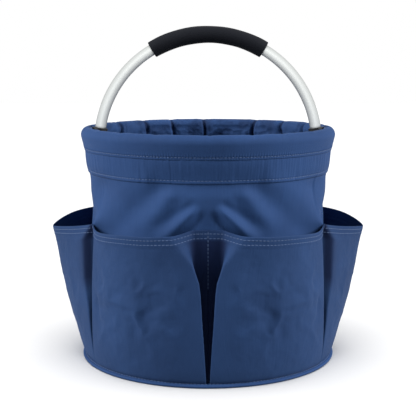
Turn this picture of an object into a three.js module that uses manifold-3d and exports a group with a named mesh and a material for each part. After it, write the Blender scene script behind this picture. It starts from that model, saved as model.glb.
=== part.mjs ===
// Round cloth cleaning caddy: a fabric bucket with six outer pockets, held open by a hidden aluminium
// rim hoop, and carried by an aluminium bail with a foam grip that folds down to the front or the back.
// Millimetres, +Z up. The origin is the centre of the underside, +X points at the right-hand hinge and
// -Y at the front.

import * as THREE from 'three';
import { mergeVertices } from 'three/addons/utils/BufferGeometryUtils.js';
import Module from 'manifold-3d';

// ---- driving dimensions -------------------------------------------------------------------------

const GAP = 0.3; // clearance left between pieces that touch
const BENT_CLEARANCE = 0.6; // radial, between a bent tube and what is inside or round it
const CLOTH = 1.0; // coated polyester cloth with its turned edges
const ROUND_SEGMENTS = 40; // facets of the fabric body round its axis

// Fabric bucket. Radii are those of the outer face of the wall.
const BASE_RADIUS = 134.5;
const MOUTH_RADIUS = 133; // at the stitch line that closes the rim sleeve
const CUFF_TAPER = 2.2; // how much smaller the radius is at the lower edge of the cuff
const WAIST_TAPER = 6.7; // how much smaller it is at the waist than at the base
const RIM_TOP = 251.4;
const SLEEVE_DEPTH = 23.2; // from the rim's top to the sleeve's stitch line
const CUFF_DEPTH = 24.5; // from the sleeve's stitch line to the cuff's lower edge
const WAIST_BELOW_CUFF = 43.7;

// Base
const FLANGE_WIDTH = 5.2; // bound seam that stands out round the base
const FLANGE_HEIGHT = 3.6;
const BOARD_THICKNESS = 2.5;

// Rim hoop, of two half hoops
const HOOP_INSET = 1.7; // of its centreline, from the mouth's radius
const HOOP_TUBE = 10;
const HOOP_TUBE_WALL = 1;
const HOOP_ROOM = 0.9; // the sleeve is loose round the hoop

// Bail and its grip
const BAIL_TUBE = 12;
const BAIL_TUBE_WALL = 1.2;
const GRIP_WALL = 3; // foam round the tube
const GRIP_HALF_ANGLE = 0.535; // of the bail's arc, either side of its top

// Hinges
const PIVOT_BELOW_HOOP = 6;
const ARC_CENTRE_BELOW_PIVOT = 6.5;
const PIN_DIAMETER = 4;
const PIN_CLEARANCE = 0.2; // radial, in the knuckle
const PIN_HEAD_LIP = 2; // radial, beyond the pin
const PIN_HEAD_THICKNESS = 1.4;
const KNUCKLE_WIDTH = 7.6; // along the pin
const KNUCKLE_EYE_RADIUS = 6;
const NECK_WIDTH = 8.4; // of the knuckle, between its eye and its collar
const COLLAR_LIP = 2; // radial, beyond the tube that stands on it
const COLLAR_THICKNESS = 3.2;
const COLLAR_LAP = 0.7; // it leans inwards with the tube, so it may reach under the hoop by as much
const COLLAR_ABOVE_PIVOT = 8.4;
const SPIGOT_LENGTH = 18;
const EAR_RADIUS = 6.4;
const EAR_THICKNESS = 3; // of the inner ear; the outer one reaches the joint between the half hoops
const EAR_WIDTH = 9.6; // below the pin
const WEB_THICKNESS = 3;
const HOOP_JOINT_LENGTH = 15; // between the two half hoops
const HOOP_SPIGOT_LENGTH = 14;
const NOTCH_HALF_LENGTH = 25; // opening in the rim sleeve round each hinge

const SLEEVE_BOTTOM = RIM_TOP - SLEEVE_DEPTH;
const CUFF_BOTTOM = SLEEVE_BOTTOM - CUFF_DEPTH;
const CUFF_RADIUS = MOUTH_RADIUS - CUFF_TAPER;
const WAIST_HEIGHT = CUFF_BOTTOM - WAIST_BELOW_CUFF;
const WAIST_RADIUS = BASE_RADIUS - WAIST_TAPER;

// Pockets, sewn to the wall along six upright seams
// swell is the power of height by which a pocket stands out, and crown is how far it stands out between
// its corner and its middle: the front ones are round in plan, and the side ones like a tent.
const POCKET_COUNT = 6;
const FRONT_POCKET = { bulge: 22.5, swell: 0.5, crown: (x) => Math.sin((x * Math.PI) / 2) };
const SIDE_POCKET = { bulge: 43, swell: 0.75, crown: (x) => x ** 1.5 };
const POCKET_COLUMNS = 16;
const POCKET_ROWS = 7;

// The cloth beside a seam lies on the wall for the width of its pleat, and then folds out to a corner
// that stands out by a share of the pocket's bulge. Widths are at the base and at the mouth. The mouth
// is at its full height at the seam, and drops by a little beyond it.
const OPEN_SEAM = {
  height: WAIST_HEIGHT - 2,
  drop: 6,
  dropStart: 13,
  dropRun: 28,
  pleat: [2, 16],
  fold: [4, 20],
  corner: 0.84,
};
const CLOSED_SEAM = {
  height: WAIST_HEIGHT - 5,
  drop: 3.5,
  dropStart: 1,
  dropRun: 16,
  pleat: [1.6, 1.6],
  fold: [3, 3],
  corner: 0.58,
};
const SIDE_SEAM = { ...CLOSED_SEAM, drop: 13, dropRun: 62, corner: 0.29 };

// ---- places that follow -------------------------------------------------------------------------

const WALL_BOTTOM = CLOTH + GAP;
const WALL_TOP = RIM_TOP - SLEEVE_DEPTH - GAP;
const WALL_ROWS = 7;
const HOOP_HEIGHT = RIM_TOP - CLOTH - HOOP_ROOM - HOOP_TUBE / 2;
const HOOP_RADIUS = MOUTH_RADIUS - HOOP_INSET;
const PIVOT_HEIGHT = HOOP_HEIGHT - PIVOT_BELOW_HOOP;
const ARC_CENTRE = PIVOT_HEIGHT - ARC_CENTRE_BELOW_PIVOT;
const BOARD_BOTTOM = CLOTH + GAP;
const LINING_BOTTOM = BOARD_BOTTOM + BOARD_THICKNESS + GAP;
const POCKET_BOTTOM = FLANGE_HEIGHT + GAP;
const POCKET_SPAN = (2 * Math.PI) / POCKET_COUNT;

const COLLAR_DIAMETER = BAIL_TUBE + 2 * COLLAR_LIP;
const BAIL_RADIUS = HOOP_RADIUS - (HOOP_TUBE + COLLAR_DIAMETER) / 2 + COLLAR_LAP;

// The bail's tube starts on top of its knuckles' collars.
const TUBE_START = PIVOT_HEIGHT + COLLAR_ABOVE_PIVOT + COLLAR_THICKNESS + GAP;
const START_ANGLE = Math.asin((TUBE_START - ARC_CENTRE) / BAIL_RADIUS);
const START_RADIUS = BAIL_RADIUS * Math.cos(START_ANGLE);
// The knuckle points along the tube's end, and the pin goes through the middle of its eye.
const PIVOT_RADIUS = START_RADIUS + (TUBE_START - PIVOT_HEIGHT) * Math.tan(START_ANGLE);
// The bracket's outer ear ends a little way into the joint, and the pin stops short of its end.
const OUTER_EAR_END = HOOP_RADIUS - HOOP_TUBE / 2 + 1.2;
const PIN_BORE_END = OUTER_EAR_END - 1;

// ---- materials ----------------------------------------------------------------------------------

const material = (color, roughness, metalness) =>
  new THREE.MeshStandardMaterial({ color, roughness, metalness });
const blueCloth = material(0x33507f, 0.85, 0);
const darkCloth = material(0x2a4470, 0.85, 0);
const aluminium = material(0xd6d9da, 0.35, 0.9);
const blackNylon = material(0x101114, 0.5, 0);
const blackFoam = material(0x16181d, 0.9, 0);
const steel = material(0xb0b3b6, 0.3, 1);
const greyBoard = material(0x54585c, 0.7, 0);

// ---- helpers ------------------------------------------------------------------------------------

const wasm = await Module();
wasm.setup();

const lerp = THREE.MathUtils.lerp;
const smooth = (x) => THREE.MathUtils.smoothstep(x, 0, 1);
const v2 = (x, y) => new THREE.Vector2(x, y);

function solid(geometry) {
  const bare = geometry.index ? geometry.toNonIndexed() : geometry.clone();
  bare.deleteAttribute('normal');
  bare.deleteAttribute('uv');
  const merged = mergeVertices(bare, 1e-3);
  return new wasm.Manifold(
    new wasm.Mesh({
      numProp: 3,
      vertProperties: merged.attributes.position.array,
      triVerts: new Uint32Array(merged.index.array),
    }),
  );
}

function geometryOf(manifold) {
  const { vertProperties, triVerts } = manifold.getMesh();
  const made = new THREE.BufferGeometry();
  made.setAttribute('position', new THREE.BufferAttribute(vertProperties, 3));
  made.setIndex(new THREE.BufferAttribute(triVerts, 1));
  return made;
}

const union = (...geometries) => geometryOf(geometries.map(solid).reduce((a, b) => a.add(b)));
const cut = (geometry, ...tools) =>
  geometryOf(tools.map(solid).reduce((a, b) => a.subtract(b), solid(geometry)));

// A profile of (radius, height) points turned round the Z axis.
const turned = (profile, segments = ROUND_SEGMENTS) =>
  new THREE.LatheGeometry([...profile, profile[0]], segments).rotateX(Math.PI / 2);

function disc(radius, bottom, thickness) {
  const made = new THREE.CylinderGeometry(radius, radius, thickness, ROUND_SEGMENTS);
  return made.rotateX(Math.PI / 2).translate(0, 0, bottom + thickness / 2);
}

function block(x0, x1, y0, y1, z0, z1) {
  const made = new THREE.BoxGeometry(x1 - x0, y1 - y0, z1 - z0);
  return made.translate((x0 + x1) / 2, (y0 + y1) / 2, (z0 + z1) / 2);
}

// A cylinder whose axis is along X, from x0 to x1.
function barX(radius, x0, x1, y, z, segments = 16) {
  const made = new THREE.CylinderGeometry(radius, radius, x1 - x0, segments);
  return made.rotateZ(Math.PI / 2).translate((x0 + x1) / 2, y, z);
}

// An arc of a circle, in the XY plane or, if upright, in the XZ plane.
class Arc extends THREE.Curve {
  constructor(radius, from, to, height, upright) {
    super();
    Object.assign(this, { radius, from, to, height, upright });
  }
  getPoint(t) {
    const angle = lerp(this.from, this.to, t);
    const across = this.radius * Math.cos(angle);
    const along = this.radius * Math.sin(angle);
    return this.upright
      ? new THREE.Vector3(across, 0, this.height + along)
      : new THREE.Vector3(across, along, this.height);
  }
}

function ringShape(outer, inner, sides) {
  const corner = (radius, i) => {
    const angle = (2 * Math.PI * (i + 0.5)) / sides;
    return v2(radius * Math.cos(angle), radius * Math.sin(angle));
  };
  const loop = (radius) => Array.from({ length: sides }, (_, i) => corner(radius, i));
  const made = new THREE.Shape(loop(outer));
  if (inner > 0) made.holes.push(new THREE.Path(loop(inner)));
  return made;
}

const swept = (shape, path, steps) =>
  new THREE.ExtrudeGeometry(shape, { steps, extrudePath: path, bevelEnabled: false });

// ---- fabric bucket ------------------------------------------------------------------------------

// Outer face of the wall: drawn in at the waist by the pocket seams, and wider at the base and the rim.
const wallCurve = new THREE.SplineCurve([
  v2(BASE_RADIUS, 0),
  v2(lerp(BASE_RADIUS, WAIST_RADIUS, 0.62), WAIST_HEIGHT / 2),
  v2(WAIST_RADIUS, WAIST_HEIGHT),
  v2(CUFF_RADIUS, CUFF_BOTTOM),
  v2(MOUTH_RADIUS, SLEEVE_BOTTOM),
]);

// The curve's radius at a height, found by halving.
function curveRadius(height) {
  let low = 0;
  let high = 1;
  for (let i = 0; i < 30; i++) {
    const middle = (low + high) / 2;
    if (wallCurve.getPoint(middle).y < height) low = middle;
    else high = middle;
  }
  return wallCurve.getPoint(low).x;
}

// The wall is straight between its rows, and what lies on it follows it exactly.
function wallRadius(height) {
  const share = (height - WALL_BOTTOM) / (WALL_TOP - WALL_BOTTOM);
  const place = THREE.MathUtils.clamp(share, 0, 1) * WALL_ROWS;
  const row = Math.min(Math.floor(place), WALL_ROWS - 1);
  const at = (i) => curveRadius(lerp(WALL_BOTTOM, WALL_TOP, i / WALL_ROWS));
  return lerp(at(row), at(row + 1), place - row);
}

// A sheet that follows the wall between two heights, offset outwards.
function wallBand(bottom, top, offset, thickness, rows) {
  const face = (out) =>
    Array.from({ length: rows + 1 }, (_, i) => {
      const height = lerp(bottom, top, i / rows);
      return v2(wallRadius(height) + out, height);
    });
  return turned([...face(offset + thickness), ...face(offset).reverse()]);
}

// Half of the wall, on the front (-1) or the back (+1), with its side seams on the X axis.
function wallPanel(side) {
  const whole = wallBand(WALL_BOTTOM, WALL_TOP, -CLOTH, CLOTH, WALL_ROWS);
  const reach = 2 * BASE_RADIUS;
  const other = [-side * reach, side * (GAP / 2)].sort((a, b) => a - b);
  return cut(whole, block(-reach, reach, other[0], other[1], -1, RIM_TOP));
}

const cuffBand = () => wallBand(CUFF_BOTTOM, WALL_TOP, GAP, CLOTH, 2);

// The tunnel of cloth that holds the hoop: a closed loop of cloth in section, with a hollow inside.
function rimSleeve() {
  const inside = HOOP_TUBE / 2 + HOOP_ROOM;
  const seam = v2(MOUTH_RADIUS + GAP, SLEEVE_BOTTOM);
  const loop = (radius, lift) => {
    const arc = Array.from({ length: 7 }, (_, i) => {
      const angle = lerp(-0.12, Math.PI + 0.3, i / 6);
      return v2(HOOP_RADIUS + radius * Math.cos(angle), HOOP_HEIGHT + radius * Math.sin(angle));
    });
    return [v2(seam.x + (radius - inside) / 2, seam.y + lift), ...arc];
  };
  const skin = turned([...loop(inside + CLOTH, 0), v2(seam.x - 2 * CLOTH, seam.y)]);
  const hollow = turned(loop(inside, 3 * CLOTH));
  const open = PIVOT_RADIUS + COLLAR_DIAMETER / 2 + GAP;
  const notches = [-1, 1].map((side) => {
    const ends = [side * (open - 3 * BAIL_TUBE), side * open].sort((a, b) => a - b);
    return block(ends[0], ends[1], -NOTCH_HALF_LENGTH, NOTCH_HALF_LENGTH, SLEEVE_BOTTOM - 1, RIM_TOP + 1);
  });
  return cut(skin, hollow, ...notches);
}

function baseBinding() {
  const inner = BASE_RADIUS + GAP;
  const outer = BASE_RADIUS + GAP + FLANGE_WIDTH;
  const edge = FLANGE_HEIGHT / 4;
  return turned([
    v2(inner, 0),
    v2(outer - edge, 0),
    v2(outer, edge),
    v2(outer, FLANGE_HEIGHT - 2 * edge),
    v2(outer - edge, FLANGE_HEIGHT - edge),
    v2(inner, FLANGE_HEIGHT),
  ]);
}

// ---- pockets ------------------------------------------------------------------------------------

// One pocket's cloth. u runs from seam to seam (-1 to 1) and v from the base to the mouth (0 to 1).
function pocket(azimuth, { bulge, swell, crown }, left, right) {
  const halfSpan = POCKET_SPAN / 2 - GAP / 2 / WAIST_RADIUS;
  const halfWidth = halfSpan * WAIST_RADIUS;

  // The cloth's inner face, at a signed distance along the wall from the pocket's middle.
  function innerFace(across, v) {
    const seam = across < 0 ? left : right;
    const fromSeam = halfWidth - Math.abs(across);
    const mouth = seam.height - seam.drop * smooth((fromSeam - seam.dropStart) / seam.dropRun);
    const height = lerp(POCKET_BOTTOM, mouth, v);
    const pleat = lerp(seam.pleat[0], seam.pleat[1], v);
    const fold = lerp(seam.fold[0], seam.fold[1], v * v);
    const beyond = Math.max((fromSeam - pleat - fold) / (halfWidth - pleat - fold), 0);
    const share = seam.corner * smooth((fromSeam - pleat) / fold) + (1 - seam.corner) * crown(beyond);
    const radius = wallRadius(height) + GAP + bulge * v ** swell * share;
    const angle = azimuth + across / WAIST_RADIUS;
    return new THREE.Vector3(radius * Math.sin(angle), -radius * Math.cos(angle), height);
  }

  // Columns crowd towards the seams, where the cloth turns sharply.
  const column = (u) => Math.sign(u) * (1 - (1 - Math.abs(u)) ** 2) * halfWidth;

  // The cloth's thickness stands off the inner face along its level normal.
  function place(u, v, thickness) {
    const across = column(u);
    const step = 0.2;
    const after = innerFace(Math.min(across + step, halfWidth), v);
    const run = after.sub(innerFace(Math.max(across - step, -halfWidth), v));
    const out = new THREE.Vector3(run.y, -run.x, 0).normalize().multiplyScalar(thickness);
    return innerFace(across, v).add(out);
  }

  const made = new THREE.BoxGeometry(2, 1, 1, POCKET_COLUMNS, POCKET_ROWS, 1).toNonIndexed();
  const position = made.getAttribute('position');
  for (let i = 0; i < position.count; i++) {
    const thickness = CLOTH * (position.getZ(i) + 0.5);
    const point = place(position.getX(i), position.getY(i) + 0.5, thickness);
    position.setXYZ(i, point.x, point.y, point.z);
  }
  return made;
}

// ---- rim hoop and hinges ------------------------------------------------------------------------

// Angles that the hinge bracket's joint and its spigots take up on the hoop, from the X axis.
const JOINT_ANGLE = HOOP_JOINT_LENGTH / 2 / HOOP_RADIUS;
const SPIGOT_ANGLE = JOINT_ANGLE + HOOP_SPIGOT_LENGTH / HOOP_RADIUS;

function halfHoop(side) {
  const start = JOINT_ANGLE + GAP / HOOP_RADIUS;
  const path = new Arc(HOOP_RADIUS, side * start, side * (Math.PI - start), HOOP_HEIGHT, false);
  const section = ringShape(HOOP_TUBE / 2, HOOP_TUBE / 2 - HOOP_TUBE_WALL, 8);
  return swept(section, path, 20);
}

// The right-hand bracket: it plugs into both half hoops, and its two ears hold the knuckle's pin.
function hingeBracket() {
  const spigotRadius = HOOP_TUBE / 2 - HOOP_TUBE_WALL - BENT_CLEARANCE;
  const joint = swept(
    ringShape(HOOP_TUBE / 2, 0, 12),
    new Arc(HOOP_RADIUS, -JOINT_ANGLE, JOINT_ANGLE, HOOP_HEIGHT, false),
    4,
  );
  const spigots = swept(
    ringShape(spigotRadius, 0, 8),
    new Arc(HOOP_RADIUS, -SPIGOT_ANGLE, SPIGOT_ANGLE, HOOP_HEIGHT, false),
    12,
  );
  const eyeStart = PIVOT_RADIUS - KNUCKLE_WIDTH / 2 - GAP;
  const eyeEnd = PIVOT_RADIUS + KNUCKLE_WIDTH / 2 + GAP;
  const inner = eyeStart - EAR_THICKNESS;
  const webTop = PIVOT_HEIGHT - EAR_RADIUS;
  const webBottom = webTop - WEB_THICKNESS;
  const plate = (x0, x1, z0, z1) => block(x0, x1, -EAR_WIDTH / 2, EAR_WIDTH / 2, z0, z1);
  const ear = (x0, x1) =>
    union(barX(EAR_RADIUS, x0, x1, 0, PIVOT_HEIGHT), plate(x0, x1, webBottom, PIVOT_HEIGHT));
  const body = union(
    joint,
    spigots,
    ear(inner, eyeStart),
    ear(eyeEnd, OUTER_EAR_END),
    plate(inner, OUTER_EAR_END, webBottom, webTop),
  );
  return cut(body, barX(PIN_DIAMETER / 2 + GAP, inner - 1, PIN_BORE_END, 0, PIVOT_HEIGHT));
}

// The right-hand knuckle: an eye on the pin, a collar that the bail's tube stands on, and a plug in it.
function knuckle() {
  const x0 = PIVOT_RADIUS - KNUCKLE_WIDTH / 2;
  const x1 = PIVOT_RADIUS + KNUCKLE_WIDTH / 2;
  const eye = barX(KNUCKLE_EYE_RADIUS, x0, x1, 0, PIVOT_HEIGHT);
  const neckTop = PIVOT_HEIGHT + COLLAR_ABOVE_PIVOT + COLLAR_THICKNESS / 6;
  const neck = block(x0, x1, -NECK_WIDTH / 2, NECK_WIDTH / 2, PIVOT_HEIGHT, neckTop);
  const collar = new THREE.CylinderGeometry(
    COLLAR_DIAMETER / 2,
    COLLAR_DIAMETER / 2,
    COLLAR_THICKNESS,
    20,
  );
  collar.rotateX(Math.PI / 2);
  collar.rotateY(-START_ANGLE);
  const below = COLLAR_THICKNESS / 2 + GAP; // the collar's middle, below the tube's end
  collar.translate(
    START_RADIUS + below * Math.sin(START_ANGLE),
    0,
    TUBE_START - below * Math.cos(START_ANGLE),
  );
  const plug = swept(
    ringShape(BAIL_TUBE / 2 - BAIL_TUBE_WALL - BENT_CLEARANCE, 0, 10),
    new Arc(
      BAIL_RADIUS,
      START_ANGLE - 2 * (GAP / BAIL_RADIUS),
      START_ANGLE + SPIGOT_LENGTH / BAIL_RADIUS,
      ARC_CENTRE,
      true,
    ),
    5,
  );
  const bore = barX(PIN_DIAMETER / 2 + PIN_CLEARANCE, x0 - 1, x1 + 1, 0, PIVOT_HEIGHT);
  return cut(union(eye, neck, collar, plug), bore);
}

// The right-hand pin, with its head on the inner side and its end pressed into the outer ear.
function hingePin() {
  const inner = PIVOT_RADIUS - KNUCKLE_WIDTH / 2 - GAP - EAR_THICKNESS;
  const end = PIN_BORE_END - 2 * GAP;
  const head = inner - GAP;
  return union(
    barX(PIN_DIAMETER / 2, head - PIN_HEAD_THICKNESS / 2, end, 0, PIVOT_HEIGHT),
    barX(PIN_DIAMETER / 2 + PIN_HEAD_LIP, head - PIN_HEAD_THICKNESS, head, 0, PIVOT_HEIGHT),
  );
}

// ---- bail ---------------------------------------------------------------------------------------

function bailTube() {
  const path = new Arc(BAIL_RADIUS, START_ANGLE, Math.PI - START_ANGLE, ARC_CENTRE, true);
  return swept(ringShape(BAIL_TUBE / 2, BAIL_TUBE / 2 - BAIL_TUBE_WALL, 10), path, 22);
}

function foamGrip() {
  const top = Math.PI / 2;
  const path = new Arc(BAIL_RADIUS, top - GRIP_HALF_ANGLE, top + GRIP_HALF_ANGLE, ARC_CENTRE, true);
  return swept(ringShape(BAIL_TUBE / 2 + GRIP_WALL, BAIL_TUBE / 2 + BENT_CLEARANCE, 12), path, 10);
}

// ---- assembly -----------------------------------------------------------------------------------

const caddy = new THREE.Group();

function add(name, geometry, look) {
  const mesh = new THREE.Mesh(geometry, look);
  mesh.name = name;
  caddy.add(mesh);
  return mesh;
}

add('base_panel', disc(BASE_RADIUS, 0, CLOTH), darkCloth);
add('base_board', disc(BASE_RADIUS - 3 * CLOTH, BOARD_BOTTOM, BOARD_THICKNESS), greyBoard);
add('floor_lining', disc(BASE_RADIUS - 3 * CLOTH, LINING_BOTTOM, CLOTH), darkCloth);
add('base_binding', baseBinding(), blueCloth);
add('wall_panel_front', wallPanel(-1), blueCloth);
add('wall_panel_back', wallPanel(1), blueCloth);
add('cuff_band', cuffBand(), blueCloth);
add('rim_sleeve', rimSleeve(), blueCloth);

for (const [name, place, kind, left, right] of [
  ['pocket_front_left', -0.5, FRONT_POCKET, CLOSED_SEAM, OPEN_SEAM],
  ['pocket_front_right', 0.5, FRONT_POCKET, OPEN_SEAM, CLOSED_SEAM],
  ['pocket_side_right', 1.5, SIDE_POCKET, SIDE_SEAM, SIDE_SEAM],
  ['pocket_back_right', 2.5, FRONT_POCKET, CLOSED_SEAM, OPEN_SEAM],
  ['pocket_back_left', 3.5, FRONT_POCKET, OPEN_SEAM, CLOSED_SEAM],
  ['pocket_side_left', 4.5, SIDE_POCKET, SIDE_SEAM, SIDE_SEAM],
]) {
  add(name, pocket(place * POCKET_SPAN, kind, left, right), blueCloth);
}

add('hoop_front', halfHoop(-1), aluminium);
add('hoop_back', halfHoop(1), aluminium);
add('bail_tube', bailTube(), aluminium);
add('foam_grip', foamGrip(), blackFoam);

for (const [side, turn] of [['right', 0], ['left', Math.PI]]) {
  add('hinge_bracket_' + side, hingeBracket(), blackNylon).rotation.z = turn;
  add('bail_knuckle_' + side, knuckle(), blackNylon).rotation.z = turn;
  add('hinge_pin_' + side, hingePin(), steel).rotation.z = turn;
}

export default caddy;
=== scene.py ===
"""Looks for the cloth cleaning caddy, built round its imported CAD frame.

Sizes are in millimetres until a mesh is made, and then in metres. Heights are above the floor, and an
azimuth is the angle round the Z axis from the front (-Y), growing towards the right-hand hinge (+X).
"""

import math

import bmesh
import bpy
import numpy as np
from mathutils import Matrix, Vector, noise


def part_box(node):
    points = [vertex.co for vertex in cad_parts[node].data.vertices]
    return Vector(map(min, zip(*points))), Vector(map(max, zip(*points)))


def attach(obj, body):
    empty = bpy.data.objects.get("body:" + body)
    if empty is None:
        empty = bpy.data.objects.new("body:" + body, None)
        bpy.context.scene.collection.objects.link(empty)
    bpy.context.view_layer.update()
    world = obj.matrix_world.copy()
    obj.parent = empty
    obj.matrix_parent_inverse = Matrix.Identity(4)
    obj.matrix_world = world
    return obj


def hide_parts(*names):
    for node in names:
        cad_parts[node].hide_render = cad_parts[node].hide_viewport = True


MM = 0.001

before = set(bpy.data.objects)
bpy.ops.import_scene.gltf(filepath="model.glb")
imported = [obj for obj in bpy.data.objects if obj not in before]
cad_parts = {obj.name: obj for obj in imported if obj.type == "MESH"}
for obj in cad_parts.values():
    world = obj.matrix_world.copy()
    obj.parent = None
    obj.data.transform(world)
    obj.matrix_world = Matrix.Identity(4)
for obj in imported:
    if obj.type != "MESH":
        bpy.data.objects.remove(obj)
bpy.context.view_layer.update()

# ---- sizes, as in the CAD --------------------------------

BASE_RADIUS = 134.5
FLANGE_RADIUS = 140.0  # of the bound seam that stands out round the base
FLANGE_HEIGHT = 3.6
FLOOR_TOP = 5.4
SLEEVE_SEAM = 228.2  # height of the stitch line that closes the rim sleeve
CUFF_BOTTOM = 203.7
HOOP_RADIUS = 131.3
HOOP_HEIGHT = 244.5
HOOP_TUBE_RADIUS = 5.0
HOOP_START = 7.8  # from each hinge to the ends of the half hoops
PIVOT_HEIGHT = 238.5  # of both hinges
FOLD_LIMIT = 88.0  # of the bail, in degrees
BAIL_RADIUS = 119.0
BAIL_CENTRE = 232.0  # height of the centre of the bail's arc
TUBE_RADIUS = 6.0
GRIP_RADIUS = 9.3
GRIP_HALF_ANGLE = 0.535  # in radians, about the centre of the bail's arc
SEAM_TOPS = {"open": 158.0, "closed": 155.0}  # heights at which the pockets' upright seams end
OPEN_SEAMS = [0, 180]  # azimuths of the pockets' upright seams with wide pleats, in degrees
CLOSED_SEAMS = [60, 120, 240, 300]
SEAMS = OPEN_SEAMS + CLOSED_SEAMS

WALL_HEIGHTS = [0, 80, 160, 203.7, 228.2, 240]
WALL_RADII = [134.5, 130.3, 127.8, 130.8, 133.0, 133.6]
ARC_RADIUS = 129.0  # the radius at which arcs along the wall are measured

# ---- sizes of the looks alone ----------------------------

CLOTH = 1.0  # the cloth's thickness
WALL_FOOT = 1.6  # lower edge of the wall's cloth
WALL_HEAD = SLEEVE_SEAM - 0.4
CUFF_HEAD = SLEEVE_SEAM - 0.2
POCKET_FOOT = FLANGE_HEIGHT - 1.0
HINGE_NOTCH = 21.0  # half the length of the opening in the sleeve at each hinge
SLEEVE_FLAP = 6.5  # cloth that comes over the rim's top above an opening
CUFF_LIFT = 1.05  # of the cuff's cloth off the wall's
CUFF_STITCHES = 3.2  # from the cuff's lower edge
INNER_STITCHES = 207.0  # height of the same seam on the inside of the wall
OPEN_SEAM_START = 0.62  # share of the pocket's height above which an open seam's stitches begin
SLEEVE_STITCHES = 2.6  # from the sleeve's lower edge
HEM_STITCHES = [3.7, 8.2]  # from a pocket's mouth
POCKET_HEIGHT = 152.0  # from the base to the mouth, for placing the hem's stitches
HOOP_WRAP = 6.9  # from the hoop's centreline to the cloth that lies over it
GATHER_LIMIT = 5.0  # how far the gathers may stand out of the sleeve's smooth shape
HOOP_CLEAR = 6.3  # least distance of the sleeve from the hoop's centreline
BAIL_CLEAR = 0.4  # least distance of the sleeve from the folded bail


# ---- numbers ---------------------------------------------


def smooth(x):
    """A smooth step from 0 at x = 0 to 1 at x = 1."""
    t = np.clip(x, 0, 1)
    return t * t * (3 - 2 * t)


def through(x, xs, ys):
    """A smooth curve through the points (xs, ys), read at x."""
    xs, ys = np.array(xs, float), np.array(ys, float)
    slopes = np.gradient(ys, xs)
    x = np.clip(np.asarray(x, float), xs[0], xs[-1])
    i = np.clip(np.searchsorted(xs, x, side="right") - 1, 0, len(xs) - 2)
    h = xs[i + 1] - xs[i]
    t = (x - xs[i]) / h
    rise = ys[i] * (1 + 2 * t) * (1 - t) ** 2 + ys[i + 1] * t * t * (3 - 2 * t)
    return rise + h * (slopes[i] * t * (1 - t) ** 2 - slopes[i + 1] * t * t * (1 - t))


def wall_radius(height):
    return through(height, WALL_HEIGHTS, WALL_RADII)


def bump(x, width):
    """1 at x = 0, falling smoothly to 0 about two widths away."""
    return np.exp(-((x / width) ** 2))


def wrinkles(points, size, seed, octaves=2):
    """Smooth noise from about -1 to 1 at points in millimetres, the largest waves about size across."""
    shift = Vector((seed * 17.3, seed * 5.1, seed * 9.7))
    flat = np.asarray(points, float).reshape(-1, 3) / size
    made = [noise.fractal(Vector(p) + shift, 0.9, 2.1, octaves) for p in flat]
    return np.array(made).reshape(np.shape(points)[:-1])


def polar(azimuth, radius, height):
    """Points at azimuths in radians."""
    azimuth, radius, height = np.broadcast_arrays(azimuth, radius, height)
    return np.stack([radius * np.sin(azimuth), -radius * np.cos(azimuth), height], axis=-1)


def all_round(columns):
    """Evenly spaced azimuths in radians, the whole way round."""
    return np.arange(columns) / columns * 2 * math.pi


def lengths_along(path):
    """The length of a path up to each of its points."""
    return np.concatenate([[0], np.cumsum(np.linalg.norm(np.diff(path, axis=0), axis=1))])


def spaced(path, count):
    """Evenly spaced points along a path."""
    along = lengths_along(path)
    at = np.linspace(0, along[-1], count)
    return np.stack([np.interp(at, along, path[:, k]) for k in range(path.shape[1])], axis=-1)


def profile_rows(profile, rows):
    """Evenly spaced places up a smooth profile of (radius, height), with their radii and heights."""
    profile = np.array(profile)
    along = lengths_along(profile)
    places = np.linspace(0, along[-1], rows)
    radius, height = [through(places, along, profile[:, k]) for k in range(2)]
    return places[:, None], radius[:, None], height[:, None]


# ---- cloth on a grid -------------------------------------


class Cloth:
    """A sheet on a grid: points[row, column], rows up the sheet and columns along it."""

    def __init__(self, points, closed=False):
        self.points = np.asarray(points, float)
        self.closed = closed
        self.pleat = None  # how much painted shade each point gets, from 0 to 1, deepest in pleats and gathers

    def wrapped(self):
        if not self.closed:
            return self.points
        return np.concatenate([self.points, self.points[:, :1]], axis=1)

    def normals(self):
        p = self.points
        up = np.gradient(p, axis=0)
        if self.closed:
            along = np.roll(p, -1, axis=1) - np.roll(p, 1, axis=1)
        else:
            along = np.gradient(p, axis=1)
        n = np.cross(along, up)
        return n / np.maximum(np.linalg.norm(n, axis=-1, keepdims=True), 1e-9)

    def push(self, distance):
        """Moves the cloth along its normals."""
        self.points = self.points + self.normals() * np.asarray(distance)[..., None]
        return self

    def read(self, row, column):
        """Points and normals at fractions of the rows and the columns, from 0 to 1."""
        p = self.wrapped()
        n = self.normals()
        if self.closed:
            n = np.concatenate([n, n[:, :1]], axis=1)
        r = np.clip(np.asarray(row, float), 0, 1) * (p.shape[0] - 1)
        c = np.clip(np.asarray(column, float), 0, 1) * (p.shape[1] - 1)
        r, c = np.broadcast_arrays(r, c)
        i = np.minimum(r.astype(int), p.shape[0] - 2)
        j = np.minimum(c.astype(int), p.shape[1] - 2)
        a, b = (r - i)[..., None], (c - j)[..., None]

        def mix(grid):
            low = grid[i, j] * (1 - b) + grid[i, j + 1] * b
            high = grid[i + 1, j] * (1 - b) + grid[i + 1, j + 1] * b
            return low * (1 - a) + high * a

        normal = mix(n)
        return mix(p), normal / np.linalg.norm(normal, axis=-1, keepdims=True)


def new_object(name, points, faces, material, body):
    """A smooth-shaded object from points in millimetres, which moves with a body of the frame."""
    mesh = bpy.data.meshes.new(name)
    mesh.from_pydata((np.asarray(points) * MM).tolist(), [], faces)
    mesh.update()
    mesh.shade_smooth()
    made = bpy.data.objects.new(name, mesh)
    bpy.context.scene.collection.objects.link(made)
    made.data.materials.append(material)
    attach(made, body)
    return made


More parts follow.
